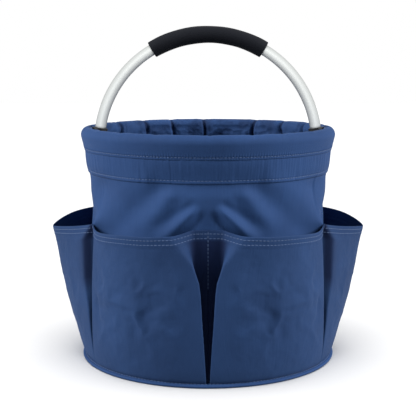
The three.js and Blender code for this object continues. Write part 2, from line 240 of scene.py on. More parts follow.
def grid_faces(rows, columns, closed):
    """The quads of a grid of points; a closed grid joins its last column to its first."""
    faces = []
    for r in range(rows - 1):
        for c in range(columns if closed else columns - 1):
            d = (c + 1) % columns
            low, high = r * columns, (r + 1) * columns
            faces.append((low + c, low + d, high + d, high + c))
    return faces


def thicken(made, thickness):
    """Gives a sheet its thickness, behind the surface that was made."""
    thick = made.modifiers.new("thickness", "SOLIDIFY")
    thick.thickness = thickness * MM
    thick.offset = -1


def cloth_object(name, cloth, material, thickness=CLOTH, replaces=()):
    """The sheet as a mesh with thickness, its weave laid out in millimetres along rows and columns."""
    rows, columns = cloth.points.shape[:2]
    faces = grid_faces(rows, columns, cloth.closed)
    made = new_object(name, cloth.points.reshape(-1, 3), faces, material, "bag")
    wrapped = cloth.wrapped()
    across = np.linalg.norm(np.diff(wrapped, axis=1), axis=-1).mean(axis=0)
    upward = np.linalg.norm(np.diff(wrapped, axis=0), axis=-1).mean(axis=1)
    u = np.concatenate([[0], np.cumsum(across)])
    v = np.concatenate([[0], np.cumsum(upward)])
    layer = made.data.uv_layers.new(name="weave")
    spots = []
    for r in range(rows - 1):
        for c in range(columns if cloth.closed else columns - 1):
            for rr, cc in ((r, c), (r, c + 1), (r + 1, c + 1), (r + 1, c)):
                spots += [u[cc] * MM, v[rr] * MM]
    layer.data.foreach_set("uv", spots)
    thicken(made, thickness)
    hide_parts(*replaces)
    # The painted shade goes on as the 'pleat' attribute, which darkens the cloth's colour.
    if cloth.pleat is not None:
        shade = made.data.attributes.new("pleat", "FLOAT", "POINT")
        shade.data.foreach_set("value", cloth.pleat.ravel())
    return made


# ---- stitches --------------------------------------------

STITCH = 2.9  # length of one stitch
STITCH_GAP = 0.9
THREAD_RADIUS = 0.33


def stitch_shape():
    """One stitch along X, arched over the cloth: rings of points, and their faces."""
    places = np.array([-0.5, -0.36, 0, 0.36, 0.5])
    lifts = np.array([-0.9, 0.1, 0.35, 0.1, -0.9])
    sizes = np.array([0.5, 0.95, 1.0, 0.95, 0.5])
    sides = 6
    turn = np.arange(sides) * 2 * math.pi / sides
    rings = []
    for place, lift, size in zip(places, lifts, sizes):
        y = np.cos(turn) * size * THREAD_RADIUS
        z = (np.sin(turn) * size + lift) * THREAD_RADIUS
        rings.append(np.stack([np.full(sides, place * STITCH), y, z], axis=-1))
    count = len(places)
    faces = []
    for i in range(count - 1):
        for k in range(sides):
            m = (k + 1) % sides
            faces.append((i * sides + k, (i + 1) * sides + k, (i + 1) * sides + m, i * sides + m))
    faces.append(tuple(range(sides)))
    faces.append(tuple((count - 1) * sides + k for k in reversed(range(sides))))
    return np.concatenate(rings), faces


def unit(vector):
    return vector / max(np.linalg.norm(vector), 1e-9)


def stitch_lines(name, lines):
    """One object with a row of stitches along each line of (points, normals)."""
    shape, shape_faces = stitch_shape()
    points, faces = [], []
    for line, normals in lines:
        along = lengths_along(line)
        count = max(1, int(along[-1] / (STITCH + STITCH_GAP)))
        pitch = along[-1] / count
        for k in range(count):
            middle = (k + 0.5) * pitch
            ends = [middle - STITCH / 2, middle, middle + STITCH / 2]
            spots = np.stack([np.interp(ends, along, line[:, a]) for a in range(3)], axis=-1)
            up = np.array([np.interp(middle, along, normals[:, a]) for a in range(3)])
            x = unit(spots[2] - spots[0])
            y = unit(np.cross(up, x))
            base = len(points) * len(shape)
            points.append(spots[1] + shape @ np.stack([x, y, np.cross(x, y)]))
            faces += [tuple(base + i for i in face) for face in shape_faces]
    made = new_object(name, np.concatenate(points), faces, THREAD, "bag")


def across_line(cloth, row, start=0.0, end=1.0, count=400, inside=False):
    """A line along a row of the sheet, given as a fraction of its rows."""
    points, normals = cloth.read(row, np.linspace(start, end, count))
    return offset_line(points, normals, inside)


def up_line(cloth, column, start=0.0, end=1.0, count=120, inside=False):
    """A line up a column of the sheet, given as a fraction of its columns."""
    points, normals = cloth.read(np.linspace(start, end, count), column)
    return offset_line(points, normals, inside)


def offset_line(points, normals, inside):
    """A line as it is, or moved through the cloth to its other face."""
    if inside:
        return points - normals * CLOTH, -normals
    return points, normals


# ---- materials -------------------------------------------


class Nodes:
    """A material's node tree, built by name."""

    def __init__(self, name):
        self.material = bpy.data.materials.new(name)
        self.material.use_nodes = True
        self.tree = self.material.node_tree
        self.shader = self.tree.nodes["Principled BSDF"]

    def add(self, kind, inputs=None, **settings):
        made = self.tree.nodes.new(kind)
        for key, value in settings.items():
            setattr(made, key, value)
        for key, value in (inputs or {}).items():
            if isinstance(value, bpy.types.NodeSocket):
                self.tree.links.new(value, made.inputs[key])
            else:
                made.inputs[key].default_value = value
        return made

    def math(self, operation, a, b=0.5):
        return self.add("ShaderNodeMath", {0: a, 1: b}, operation=operation).outputs[0]

    def place(self):
        """Coordinates in the object, in metres."""
        return self.add("ShaderNodeTexCoord").outputs["Object"]

    def scaled(self, coordinates, *scale):
        return self.add("ShaderNodeMapping", {"Vector": coordinates, "Scale": scale}).outputs[0]

    def remap(self, value, low, high):
        """A value from 0 to 1, brought to between low and high."""
        inputs = {"Value": value, "To Min": low, "To Max": high}
        return self.add("ShaderNodeMapRange", inputs).outputs[0]

    def noise(self, coordinates, scale, detail=3.0, roughness=0.5):
        inputs = {"Vector": coordinates, "Scale": scale, "Detail": detail, "Roughness": roughness}
        return self.add("ShaderNodeTexNoise", inputs).outputs[0]

    def ramp(self, value, *stops):
        """A colour that changes along stops of (place, colour)."""
        made = self.add("ShaderNodeValToRGB", {0: value})
        for i, (place, colour) in enumerate(stops):
            element = made.color_ramp.elements[i] if i < 2 else made.color_ramp.elements.new(place)
            element.position = place
            element.color = (*colour, 1)
        return made.outputs[0]

    def mix(self, factor, a, b, blend="MIX"):
        made = self.add("ShaderNodeMix", data_type="RGBA", blend_type=blend)
        for index, value in ((0, factor), (6, a), (7, b)):
            if isinstance(value, bpy.types.NodeSocket):
                self.tree.links.new(value, made.inputs[index])
            else:
                made.inputs[index].default_value = value if index == 0 else (*value, 1)
        return made.outputs[2]

    def bump(self, height, strength, distance):
        """Relief with a depth in millimetres."""
        inputs = {"Height": height, "Strength": strength, "Distance": distance * MM}
        return self.add("ShaderNodeBump", inputs).outputs[0]

    def set(self, **sockets):
        """Sets the shader's sockets, and gives the material."""
        for name, value in sockets.items():
            socket = self.shader.inputs[name.replace("_", " ")]
            if isinstance(value, bpy.types.NodeSocket):
                self.tree.links.new(value, socket)
            else:
                socket.default_value = value
        return self.material


def linear(red, green, blue):
    """A colour given as 0 to 255 in sRGB."""

    def one(value):
        c = value / 255
        return c / 12.92 if c <= 0.04045 else ((c + 0.055) / 1.055) ** 2.4

    return tuple(one(c) for c in (red, green, blue))


THREAD_PITCH = 0.62  # of the cloth's weave
PAINTED_PLEAT_SHADE = linear(4, 22, 56)  # painted shade: a deep blue that stands in for the shade deep in pleats and gathers


def woven_cloth(name, dark, mid, light, cloud_scale=11.0):
    """Polyester cloth in plain weave, with slubs, ribs and clouds of a lighter and a darker blue, and
    painted shade where its 'pleat' attribute is set.
    """
    n = Nodes(name)
    uv = n.add("ShaderNodeUVMap", uv_map="weave").outputs[0]
    place = n.place()
    split = n.add("ShaderNodeSeparateXYZ", {0: uv})
    turn = 2 * math.pi / (2 * THREAD_PITCH * MM)
    warp = n.math("SINE", n.math("MULTIPLY", split.outputs[0], turn), 0)
    weft = n.math("SINE", n.math("MULTIPLY", split.outputs[1], turn), 0)
    weave = n.math("MULTIPLY", warp, weft)
    slub = n.noise(n.scaled(uv, 1800, 90, 1), 1.0, 2.0)
    ribs = n.noise(n.scaled(uv, 520, 14, 1), 1.0, 2.0)
    cloud = n.noise(place, cloud_scale, 4.0, 0.55)
    shade = n.ramp(cloud, (0.3, dark), (0.72, light))
    shade = n.mix(n.remap(slub, 0.0, 0.5), shade, mid)
    threads = n.mix(n.remap(weave, 0.0, 0.3), shade, light)
    streaks = n.mix(n.remap(ribs, 0.0, 0.42), threads, dark)
    # Painted shade: the 'pleat' attribute mixes the colour towards a deep blue in pleats and gathers,
    # where shade falls.
    pleat = n.add("ShaderNodeAttribute", attribute_name="pleat").outputs["Fac"]
    streaks = n.mix(pleat, streaks, PAINTED_PLEAT_SHADE)
    height = n.math("ADD", n.math("MULTIPLY", weave, 0.5), n.math("MULTIPLY", slub, 0.5))
    bump = n.bump(n.math("ADD", height, n.math("MULTIPLY", ribs, 1.2)), 0.6, 0.2)
    rough = n.remap(slub, 0.66, 0.86)
    return n.set(
        Base_Color=streaks,
        Roughness=rough,
        Normal=bump,
        Sheen_Weight=0.04,
        Sheen_Roughness=0.45,
        Sheen_Tint=(0.55, 0.68, 1.0, 1),
        Specular_IOR_Level=0.16,
    )


def thread_material():
    n = Nodes("sewing_thread")
    ply = n.noise(n.place(), 2400.0, 1.0)
    shade = n.mix(ply, linear(44, 72, 116), linear(66, 95, 140))
    return n.set(
        Base_Color=shade,
        Roughness=0.5,
        Normal=n.bump(ply, 0.4, 0.1),
        Sheen_Weight=0.2,
    )


def satin_aluminium():
    n = Nodes("satin_aluminium")
    smears = n.noise(n.place(), 18.0, 3.0)
    shade = n.mix(smears, linear(228, 232, 230), linear(238, 241, 239))
    return n.set(
        Base_Color=shade,
        Metallic=0.12,
        Specular_IOR_Level=0.35,
        Roughness=n.remap(smears, 0.46, 0.54),
        Normal=n.bump(smears, 0.05, 0.05),
    )


def milled_aluminium():
    """The hoop's tube, plain and duller than the bail's."""
    n = Nodes("milled_aluminium")
    place = n.place()
    drawn = n.noise(place, 500.0, 2.0)
    smears = n.noise(place, 30.0, 3.0)
    return n.set(
        Base_Color=n.mix(smears, linear(104, 107, 112), linear(134, 137, 141)),
        Metallic=0.8,
        Roughness=n.remap(smears, 0.36, 0.5),
        Normal=n.bump(drawn, 0.05, 0.02),
    )


def foam_rubber():
    n = Nodes("foam_rubber")
    place = n.place()
    pores = n.add("ShaderNodeTexVoronoi", {"Vector": place, "Scale": 1500.0}).outputs[0]
    grain = n.noise(place, 420.0, 4.0, 0.6)
    cloud = n.noise(place, 40.0, 3.0)
    shade = n.mix(grain, linear(7, 10, 17), linear(15, 19, 29))
    shade = n.mix(n.remap(cloud, 0.0, 0.5), shade, linear(11, 14, 22))
    height = n.math("ADD", n.math("MULTIPLY", pores, 0.8), grain)
    return n.set(
        Base_Color=shade,
        Roughness=n.remap(grain, 0.7, 0.9),
        Normal=n.bump(height, 0.45, 0.25),
        Specular_IOR_Level=0.18,
        Sheen_Weight=0.03,
    )


def moulded_nylon():
    n = Nodes("moulded_nylon")
    place = n.place()
    grain = n.noise(place, 900.0, 3.0)
    cloud = n.noise(place, 60.0, 2.0)
    return n.set(
        Base_Color=n.mix(cloud, linear(14, 15, 17), linear(30, 31, 34)),
        Roughness=n.remap(grain, 0.4, 0.6),
        Normal=n.bump(grain, 0.2, 0.1),
    )


def turned_steel():
    n = Nodes("turned_steel")
    lines = n.noise(n.scaled(n.place(), 0.2, 3, 3), 800.0)
    return n.set(
        Base_Color=n.mix(lines, linear(150, 152, 155), linear(190, 192, 195)),
        Metallic=1.0,
        Roughness=n.remap(lines, 0.22, 0.4),
        Normal=n.bump(lines, 0.1, 0.05),
    )


BLUE = woven_cloth("blue_polyester", linear(32, 58, 100), linear(38, 66, 112), linear(46, 77, 127))
DEEP_BLUE = woven_cloth(
    "blue_lining", linear(26, 47, 82), linear(31, 54, 93), linear(38, 64, 108), cloud_scale=14.0
)
# The pockets get a darker copy of the same blue polyester: painted shade for their panels, which lean out
# and away from the light.
SHADED_POCKET_BLUE = woven_cloth(
    "pocket_polyester_shaded", linear(27, 51, 89), linear(32, 57, 98), linear(39, 67, 111), cloud_scale=16.0
)
THREAD = thread_material()
ALUMINIUM = satin_aluminium()
MILLED = milled_aluminium()
FOAM = foam_rubber()
NYLON = moulded_nylon()
STEEL = turned_steel()


# ---- bucket ----------------------------------------------


def slanted_fold(arc, height, start, end, width, lift):
    """A soft ridge on the wall from start to end, both (arc in mm, height), with valleys beside it."""
    along = np.array(end, float) - np.array(start, float)
    long = np.hypot(*along)
    x, y = arc - start[0], height - start[1]
    t = (x * along[0] + y * along[1]) / long**2
    side = (x * along[1] - y * along[0]) / long
    # It fades in before its start, and out beyond its end, and widens on the way.
    fade = smooth((t + 0.2) / 0.3) * smooth((1.35 - t) / 0.5)
    swell = width * (0.6 + 0.6 * np.clip(t, 0, 1))
    under = bump(side - 1.9 * swell, swell)
    over = bump(side + 1.9 * swell, swell)
    return lift * fade * (bump(side, swell) - 0.75 * under - 0.4 * over)


def open_seam_folds(arc, height, vary):
    """Two slanted folds beside an open seam, and the hollow over its pleat."""
    near = slanted_fold(arc, height, (13, 177), (47, 147), 6.4, 3.8 * vary)
    far = slanted_fold(arc, height, (36, 194), (64, 160), 9.0, 1.7 * vary)
    return near + far - 2.6 * bump(arc, 14) * bump(height - SEAM_TOPS["open"], 16)


def closed_seam_folds(arc, height, vary):
    """The hollow over a closed seam, with a slanted crease beyond its edge."""
    beyond = (arc - 3) * 0.656 - (height - 156) * 0.754
    return -4.6 * vary * smooth(-beyond / 34) - 2.2 * bump(beyond - 20, 12)


def corner_pull(arc, height):
    """How far the cloth is drawn out towards the corner at the top of a closed seam."""
    above = height - SEAM_TOPS["closed"]
    reach = np.hypot(arc, np.where(above > 0, above * 0.8, above * 0.35))
    return 11.0 * np.exp(-reach / 10)


def wall_folds(azimuth, height):
    """How far the wall's cloth stands out of its round shape."""
    points = polar(azimuth, ARC_RADIUS, height)
    folds = 1.3 * wrinkles(points, 62, seed=1) + 0.3 * wrinkles(points, 22, seed=2, octaves=3)
    corners = 0.0
    for seam in SEAMS:
        away = (azimuth - math.radians(seam) + math.pi) % (2 * math.pi) - math.pi
        arc = np.abs(away) * ARC_RADIUS
        vary = 1 + 0.2 * np.sin(seam + np.sign(away))
        if seam in OPEN_SEAMS:
            folds = folds + open_seam_folds(arc, height, vary)
        else:
            folds = folds + closed_seam_folds(arc, height, vary)
            corners = corners + corner_pull(arc, height)
    # The cloth is free to fold between the pockets and the cuff.
    free = smooth((height - 128) / 30) * smooth((216 - height) / 26)
    # It leans inwards a little at the lower edge of the cuff, at the front and at the back.
    facing = np.abs(np.arcsin(np.clip(np.sin(azimuth), -1, 1))) * ARC_RADIUS
    lean = smooth((66 - facing) / 16) * smooth((226 - height) / 20) * smooth((height - 188) / 16)
    return free * folds - 2.4 * lean + corners


def make_wall():
    rows, columns = 120, 540
    height = np.linspace(WALL_FOOT, WALL_HEAD, rows)[:, None]
    azimuth, height = np.broadcast_arrays(all_round(columns), height)
    radius = wall_radius(height) + wall_folds(azimuth, height)
    return Cloth(polar(azimuth, radius, height), closed=True)


def make_cuff():
    """The reinforcing band under the rim, flush with the wall but for its turned lower edge."""
    rows, columns = 40, 720
    height = np.linspace(CUFF_BOTTOM, CUFF_HEAD, rows)[:, None]
    azimuth, height = np.broadcast_arrays(all_round(columns), height)
    above = height - CUFF_BOTTOM
    ripple = wrinkles(polar(azimuth * 5, ARC_RADIUS, height * 0.5), 16, seed=5)
    vary = 0.5 + 0.5 * wrinkles(polar(azimuth, 60, 0), 40, seed=6)
    ribs = np.sin(azimuth * 250 + 2 * ripple) * (0.05 + 0.1 * vary)
    radius = wall_radius(height) + wall_folds(azimuth, height) + CUFF_LIFT + 0.25 * ripple + ribs
    radius = radius - 0.35 * bump(above - CUFF_STITCHES, 0.9) - 0.35 * bump(above, 0.8)
    return Cloth(polar(azimuth, radius, height), closed=True)


# The cloth inside the rim is gathered into folds that hang from notches at these azimuths, in degrees:
# they are alike at the front and at the back, and a little uneven.
GATHERS = [0, 20, 37, 56, 74, 100, 118, 137, 156]


def gathers(azimuth, drop):
    """The gathers of the rim's inner face: how far it stands in, and where the notches are, 0 to 1.

    drop runs from 0 at the rim's top to 1 at the inner seam."""
    shape = np.broadcast(azimuth, drop).shape
    nearest = np.full(shape, 1e3)
    pinch = np.zeros(shape)
    rng = np.random.default_rng(7)
    for place in GATHERS + [g + 180 for g in GATHERS]:
        lean, kink, depth = rng.uniform(-1, 1, 3)
        centre = math.radians(place + 2.2 * lean) + 0.03 * kink * drop
        centre = centre + 0.010 * np.sin(6 * drop + 9 * lean)
        away = ((azimuth - centre + math.pi) % (2 * math.pi) - math.pi) * HOOP_RADIUS
        strength = 0.75 + 0.25 * depth
        lips = 0.9 * bump(np.abs(away) - 3.6, 1.9) + 0.8 * bump(away - 8 * np.sign(kink), 3.0)
        pinch = pinch + strength * (lips - 1.9 * np.exp(-np.abs(away) / 1.5))
        nearest = np.minimum(nearest, np.abs(away) / strength)
    return pinch + 1.5 * smooth(nearest / 16), np.exp(-nearest / 2)


def make_sleeve():
    """The cloth round the hoop: up the outside, over the top and down the gathered inside.

    Also gives its length along that path, and the row at which its openings begin."""
    rows, columns = 90, 1200
    outer = [
        (134.3, SLEEVE_SEAM - 0.6),
        (134.9, SLEEVE_SEAM + 1.2),
        (136.0, SLEEVE_SEAM + 6),
        (137.4, SLEEVE_SEAM + 11.5),
    ]
    over = [
        (HOOP_RADIUS + HOOP_WRAP * math.cos(a), HOOP_HEIGHT + HOOP_WRAP * math.sin(a))
        for a in np.linspace(0.05, math.pi * 0.98, 12)
    ]
    inner = [(124.9, 239.5), (126.2, 233.0), (127.8, 226.0), (129.4, 219.0)]
    profile = outer + over + inner
    s, radius, height = profile_rows(profile, rows)
    length = s[-1, 0]
    top = lengths_along(profile[: len(outer) + 6])[-1]
    past_top = s - top
    drop = np.clip(past_top / (length - top), 0, 1)
    azimuth, drop, past_top = np.broadcast_arrays(all_round(columns), drop, past_top)
    cloth = Cloth(polar(azimuth, radius, height), closed=True)
    points = cloth.points
    hang, notch = gathers(azimuth, drop)
    inside = smooth((drop - 0.05) / 0.17) * (1 - 0.35 * smooth((drop - 0.8) / 0.2))
    outside = 1 - smooth((past_top + 6) / 6)
    crest = bump(past_top, 5.0)
    crumple = wrinkles(points * (1, 1, 1.5), 19, seed=11, octaves=3)
    sharp = 1 - 2.2 * np.abs(wrinkles(points * (1, 1, 0.8), 13, seed=14))
    ripple = np.sin(azimuth * 300 + 3 * wrinkles(points, 40, seed=12))
    swell = 0.3 * wrinkles(polar(azimuth, 130, 0), 34, seed=13)
    from_hinge = np.arccos(np.abs(np.sin(azimuth))) * HOOP_RADIUS
    inside = inside * (0.15 + 0.85 * smooth((from_hinge - HINGE_NOTCH) / 40))
    push = inside * (1.9 * hang + (1.7 * crumple + 0.7 * sharp) * smooth((drop - 0.1) / 0.4))
    push = push + (0.35 * swell + 0.7 * notch + 0.45 * hang) * crest + swell * outside
    push = push + 0.2 * bump(s - 3.5, 3.0) * ripple - 0.5 * bump(s - SLEEVE_STITCHES, 0.8)
    push = np.where(push > 0, GATHER_LIMIT * np.tanh(push / GATHER_LIMIT), push)
    # Painted shade: the gathers' notches and the valleys of their crumples are darkened in colour.
    painted_gather_shade = 0.75 * smooth(1.7 * notch) + 0.4 * smooth(0.35 - 1.4 * crumple)
    cloth.pleat = np.clip(painted_gather_shade, 0, 0.85) * smooth((drop - 0.02) / 0.12)
    cloth.push(push)
    clear_of_hoop(cloth)
    clear_of_bail(cloth)
    opening_row = int(np.searchsorted(s[:, 0], top + SLEEVE_FLAP))
    return cloth, length, opening_row


def clear_of_hoop(cloth):
    """Keeps the cloth off the hoop."""
    x, y, z = np.moveaxis(cloth.points, -1, 0)
    radius = np.hypot(x, y)
    out, up = radius - HOOP_RADIUS, z - HOOP_HEIGHT
    grow = np.maximum(HOOP_CLEAR / np.maximum(np.hypot(out, up), 1e-6), 1)
    wider = (HOOP_RADIUS + out * grow) / radius
    cloth.points = np.stack([x * wider, y * wider, HOOP_HEIGHT + up * grow], axis=-1)


def clear_of_bail(cloth):
    """Keeps the cloth off the bail where it lies when it is folded to the front or to the back.

    One quarter of the bail is enough, since both its halves and both its folds mirror each other."""
    angle = np.linspace(0.15, math.pi / 2, 120)
    in_grip = angle > math.pi / 2 - GRIP_HALF_ANGLE - 0.02
    need = np.where(in_grip, GRIP_RADIUS, TUBE_RADIUS) + BAIL_CLEAR
    reach = BAIL_RADIUS * np.sin(angle) + BAIL_CENTRE - PIVOT_HEIGHT
    fold = math.radians(FOLD_LIMIT)
    x, y = BAIL_RADIUS * np.cos(angle), reach * math.sin(fold)
    path = np.stack([x, y, PIVOT_HEIGHT + reach * math.cos(fold)], axis=-1)
    flat = cloth.points.reshape(-1, 3)
    level = flat[:, 2] > PIVOT_HEIGHT - 2 * GRIP_RADIUS
    near = np.flatnonzero(level & (np.hypot(flat[:, 0], flat[:, 1]) < HOOP_RADIUS))
    points = flat[near]
    for _ in range(4):
        short = np.zeros(len(points))
        for spot, room in zip(path, need):
            gap = np.linalg.norm(np.abs(points) - spot, axis=-1) - room
            short = np.maximum(short, -gap)
        points[:, :2] *= (1 + short / np.hypot(points[:, 0], points[:, 1]))[:, None]
    flat[near] = points
    cloth.points = flat.reshape(cloth.points.shape)


def cut_hinge_openings(made, cloth, first_row):
    """Cuts the sleeve's inner face away round each hinge, below a row of its grid."""
    columns = cloth.points.shape[1]
    bm = bmesh.new()
    bm.from_mesh(made.data)
    bm.faces.ensure_lookup_table()
    gone = []
    for face in bm.faces:
        row, column = divmod(face.index, columns)
        azimuth = (column + 0.5) / columns * 2 * math.pi
        if row >= first_row and abs(math.cos(azimuth)) * HOOP_RADIUS < HINGE_NOTCH:
            gone.append(face)
    bmesh.ops.delete(bm, geom=gone, context="FACES")
    bm.to_mesh(made.data)
    bm.free()


def opening_stitches(cloth, first_row):
    """Stitches round the edges of both openings."""
    lines = []
    rows = cloth.points.shape[0]
    row = (first_row - 3) / (rows - 1)
    half = math.asin(HINGE_NOTCH / HOOP_RADIUS) / (2 * math.pi) + 0.003
    for middle in (0.25, 0.75):
        lines.append(across_line(cloth, row, middle - half, middle + half, 80))
        for side in (-half, half):
            lines.append(up_line(cloth, middle + side, row, 0.97, 60))
    return lines


# ---- pockets ---------------------------------------------

# A pocket's cloth lies on the wall beside its seam, folds forward, and leans over its own pleat. The
# open pleats at the front and back seams are wide; the other seams' are closed. At each of the heights,
# which are shares of the pocket's own, "floor" is the width that lies on the wall, "lip" is how far the
# lip stays from the seam, and "depth" is how far it stands out, as a share of the bulge.
OPEN_PLEAT = {
    "heights": [0, 0.06, 0.26, 0.42, 0.6, 0.68, 0.8, 0.94, 1.0],
    "floor": [2.0, 7.0, 13.0, 15.0, 16.0, 16.0, 15.0, 14.5, 14.5],
    "lip": [0.9, 1.2, 2.7, 4.1, 5.3, 6.6, 12.5, 27.0, 34.0],
    "depth": [0.9, 0.92, 0.92, 0.92, 0.9, 0.88, 0.86, 0.84, 0.84],
    "top": SEAM_TOPS["open"],
    "panel": 0.6,  # share of the pocket's columns that lies beyond the pleat
}
CLOSED_PLEAT = {
    "heights": [0, 0.1, 0.4, 0.8, 1.0],
    "floor": [0.8, 3.5, 6.0, 4.0, 1.0],
    "lip": [0.5, 0.5, 0.5, 0.9, 1.6],
    "depth": [0.8, 0.8, 0.66, 0.54, 0.42],
    "top": SEAM_TOPS["closed"],
    "panel": 0.84,
}
SIDE_FRONT_PLEAT = {
    "heights": [0, 0.1, 0.4, 0.62, 0.9, 1.0],
    "floor": [0.8, 1.5, 2.0, 3.0, 3.0, 1.0],
    "lip": [0.5, 1.0, 3.5, 11.0, 12.0, 2.0],
    "depth": [0.7, 0.6, 0.5, 0.45, 0.4, 0.22],
    "top": SEAM_TOPS["closed"],
    "panel": 0.78,
    "fall": 0.85,  # the power of the arc by which the mouth falls from the seam to the pocket's middle
}
SIDE_BACK_PLEAT = {**SIDE_FRONT_PLEAT, "fall": 3.5}

# How far a pocket's mouth stands out, the power of the height by which it comes to do so, how much its
# cloth crumples, and the seed of its crumples.
FRONT_POCKET = {"bulge": 22.5, "power": 0.5, "crumpled": 1.0, "seed": 41}
SIDE_POCKET = {"bulge": 44.5, "power": 0.75, "crumpled": 0.45, "seed": 43}

POCKET_HALF_SPAN = math.radians(30) - 0.05 / 128  # a hair short of its seams
POCKET_HALF_ARC = POCKET_HALF_SPAN * ARC_RADIUS


def pocket_section(v, bulge, pleat):
    """Half of the pocket's level section, from its seam to its middle, as (arc, offset) points.

    v is the share of the pocket's height."""
    floor, lip, depth = [
        float(np.interp(v, pleat["heights"], pleat[key])) for key in ("floor", "lip", "depth")
    ]
    deep = bulge * depth
    corners = [(0.0, 0.0), (floor, 0.0), ((floor + lip) / 2, deep * 0.5), (lip, deep)]
    for share in np.linspace(0, 1, 21)[1:]:
        if "fall" in pleat:
            crown = share**1.4
        else:
            crown = math.sin(share * math.pi / 2)
        corners.append((lip + (POCKET_HALF_ARC - lip) * share, deep + (bulge - deep) * crown))
    return soften(np.array(corners), 0.8 + 2.4 * v * v)


def soften(path, spread):
    """Rounds the corners of half a section, which mirrors at both of its ends."""
    along = lengths_along(path)
    step, margin = 0.5, 40
    dense = np.arange(-margin, along[-1] + margin, step)
    mirrored = along[-1] - np.abs(along[-1] - np.abs(dense))
    flat = np.stack([np.interp(mirrored, along, path[:, k]) for k in range(2)], axis=-1)
    flat[dense < 0, 0] *= -1
    beyond = dense > along[-1]
    flat[beyond, 0] = 2 * POCKET_HALF_ARC - flat[beyond, 0]
    kernel = np.exp(-0.5 * (np.arange(-30, 31) * step / spread) ** 2)
    kernel = kernel / kernel.sum()
    soft = np.stack([np.convolve(flat[:, k], kernel, mode="same") for k in range(2)], axis=-1)
    return soft[(dense >= 0) & (dense <= along[-1])]


def mouth_height(arc, pleat):
    """The mouth's height at an arc from the pleat at one of its seams."""
    if pleat is OPEN_PLEAT:
        return pleat["top"] - 3.7 * smooth((arc - 13) / 20) - 1.8 * smooth((arc - 30) / 37)
    if pleat is CLOSED_PLEAT:
        return pleat["top"] - 5.8 * (1 - np.exp(-arc / 6)) + 3.3 * smooth((arc - 8) / 59)
    return pleat["top"] - 13.5 * np.clip(arc / 67.5, 0, 1) ** pleat["fall"]


def painted_pocket_shade(v, share, at_side):
    """Painted shade for the cloth in a pleat, from 0 to 1, where it stands out by a share of the pleat's
    lip; a side pocket also gets a painted dark band up the valley beside its seam.
    """
    pleat = (1 - smooth(share / 0.65)) * (1 - 0.65 * smooth((v - 0.92) / 0.04))
    if at_side:
        # Painted shade: a dark band up the side pocket's valley, where its panel turns away from the
        # light.
        band = smooth((share - 0.3) / 0.3) * (1 - smooth((share - 0.85) / 0.3))
        pleat = np.maximum(0.6 * pleat, 0.9 * band * smooth((v - 0.5) / 0.14))
    return pleat


def pocket_row(v, middle, left, right, style):
    """One row of a pocket's cloth, at a share of its height: its points, and the painted shade at each.
    """
    half_columns = 96
    out = style["bulge"] * v ** style["power"]
    halves = [spaced(pocket_section(v, out, p), half_columns + 1) for p in (left, right)]
    first = halves[0][:-1] - (POCKET_HALF_ARC, 0)
    second = halves[1][::-1] * (-1, 1) + (POCKET_HALF_ARC, 0)
    arcs, offsets = np.concatenate([first, second]).T
    mouths = mouth_height(arcs + POCKET_HALF_ARC, left), mouth_height(POCKET_HALF_ARC - arcs, right)
    height = POCKET_FOOT + (np.where(arcs < 0, *mouths) - POCKET_FOOT) * v
    azimuth = math.radians(middle) + arcs / ARC_RADIUS
    depths = [float(np.interp(v, p["heights"], p["depth"])) for p in (left, right)]
    share = offsets / np.maximum(out * np.where(arcs < 0, *depths), 0.1)
    # The cloth follows the wall's folds: into its hollows where it lies on the wall, and over its ridges.
    folds = wall_folds(azimuth, height)
    lift = np.interp(v, [0, 0.03, 1], [0.0, 1.3, 1.3])
    base = wall_radius(height) + np.minimum(folds, 0) * smooth((6 - offsets) / 6) + lift
    points = polar(azimuth, base + np.cbrt(offsets**3 + np.maximum(folds, 0) ** 3), height)
    return points, painted_pocket_shade(v, share, style is SIDE_POCKET)


def crumple_pocket(cloth, left, right, style):
    """Crumples the pocket's panel, which lies between its pleats, and raises its hem."""
    rows, columns = cloth.points.shape[:2]
    v = np.linspace(0, 1, rows)[:, None]
    u = np.linspace(-1, 1, columns)[None]
    edge = np.where(u < 0, left["panel"], right["panel"])
    panel = smooth((edge - np.abs(u)) / 0.22)
    part = smooth((v - 0.06) / 0.2) * smooth((0.98 - v) / 0.22) * panel
    # The folds of the left and the right pockets are alike, as are those at the front and the back.
    alike = np.abs(cloth.points) * (1, -1, 1)
    seed = style["seed"]
    soft = 1.6 * wrinkles(alike, 60, seed=seed)
    bent = alike + 9 * wrinkles(alike, 30, seed=seed + 2)[..., None]
    crease = np.sqrt(wrinkles(bent, 44, seed=seed + 3) ** 2 + 0.006)
    crumple = (1 - 2.4 * crease) * bump(v - 0.5, 0.24)
    fine = 0.3 * wrinkles(alike, 12, seed=seed + 5, octaves=3)
    cloth.push(style["crumpled"] * part * (soft + 2.3 * crumple) + fine * panel)
    hem = smooth((v - 0.925) / 0.012)
    cloth.push(0.45 * hem * np.ones_like(u) - 0.3 * bump((v - 0.948) / 0.006, 1) * hem)


def make_pocket(middle, left, right, style):
    """One pocket's cloth, as a grid from seam to seam and from the base to its mouth.

    middle is its azimuth in degrees, and left and right are the pleats at its two seams."""
    rows = [pocket_row(v, middle, left, right, style) for v in np.linspace(0, 1, 120)]
    cloth = Cloth([points for points, _ in rows])
    # The pockets' pleats are darkened with painted shade.
    cloth.pleat = np.array([pleat for _, pleat in rows])
    crumple_pocket(cloth, left, right, style)
    return cloth


# ---- base ------------------------------------------------


